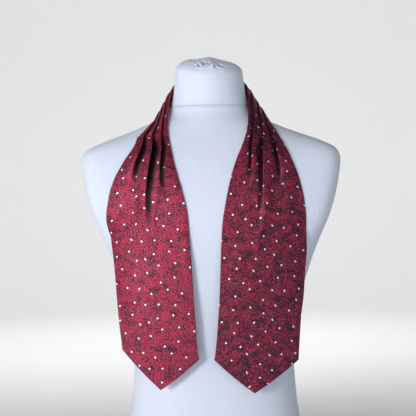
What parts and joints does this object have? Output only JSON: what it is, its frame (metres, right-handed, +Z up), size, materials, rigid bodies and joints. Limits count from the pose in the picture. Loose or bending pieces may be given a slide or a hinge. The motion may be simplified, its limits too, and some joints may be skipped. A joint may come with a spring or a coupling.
{
  "type": "silk cravat on dress form",
  "caption": "Untied silk day cravat with a stitched, knife-pleated neckband and two wide pointed blades, hung open round the neck of a limbless dress form with a flat base.",
  "frame": {"origin": "middle of the dress form's flat base, on the surface that it stands on", "axes": "+Z up from the base to the neck, -Y towards the viewer at the chest, +X to the viewer's right, which is the wearer's left"},
  "size_m": [0.4474, 0.2531, 0.7088],
  "materials": {
    "jersey": "pale blue-white knitted jersey cover, matt",
    "silk": "woven silk mottled in burgundy and charcoal with white pin dots, soft sheen"
  },
  "bodies": {
    "root": {"dress_form": "jersey", "neckband": "silk", "blade_wearers_right": "silk", "blade_wearers_left": "silk"}
  },
  "joints": []
}
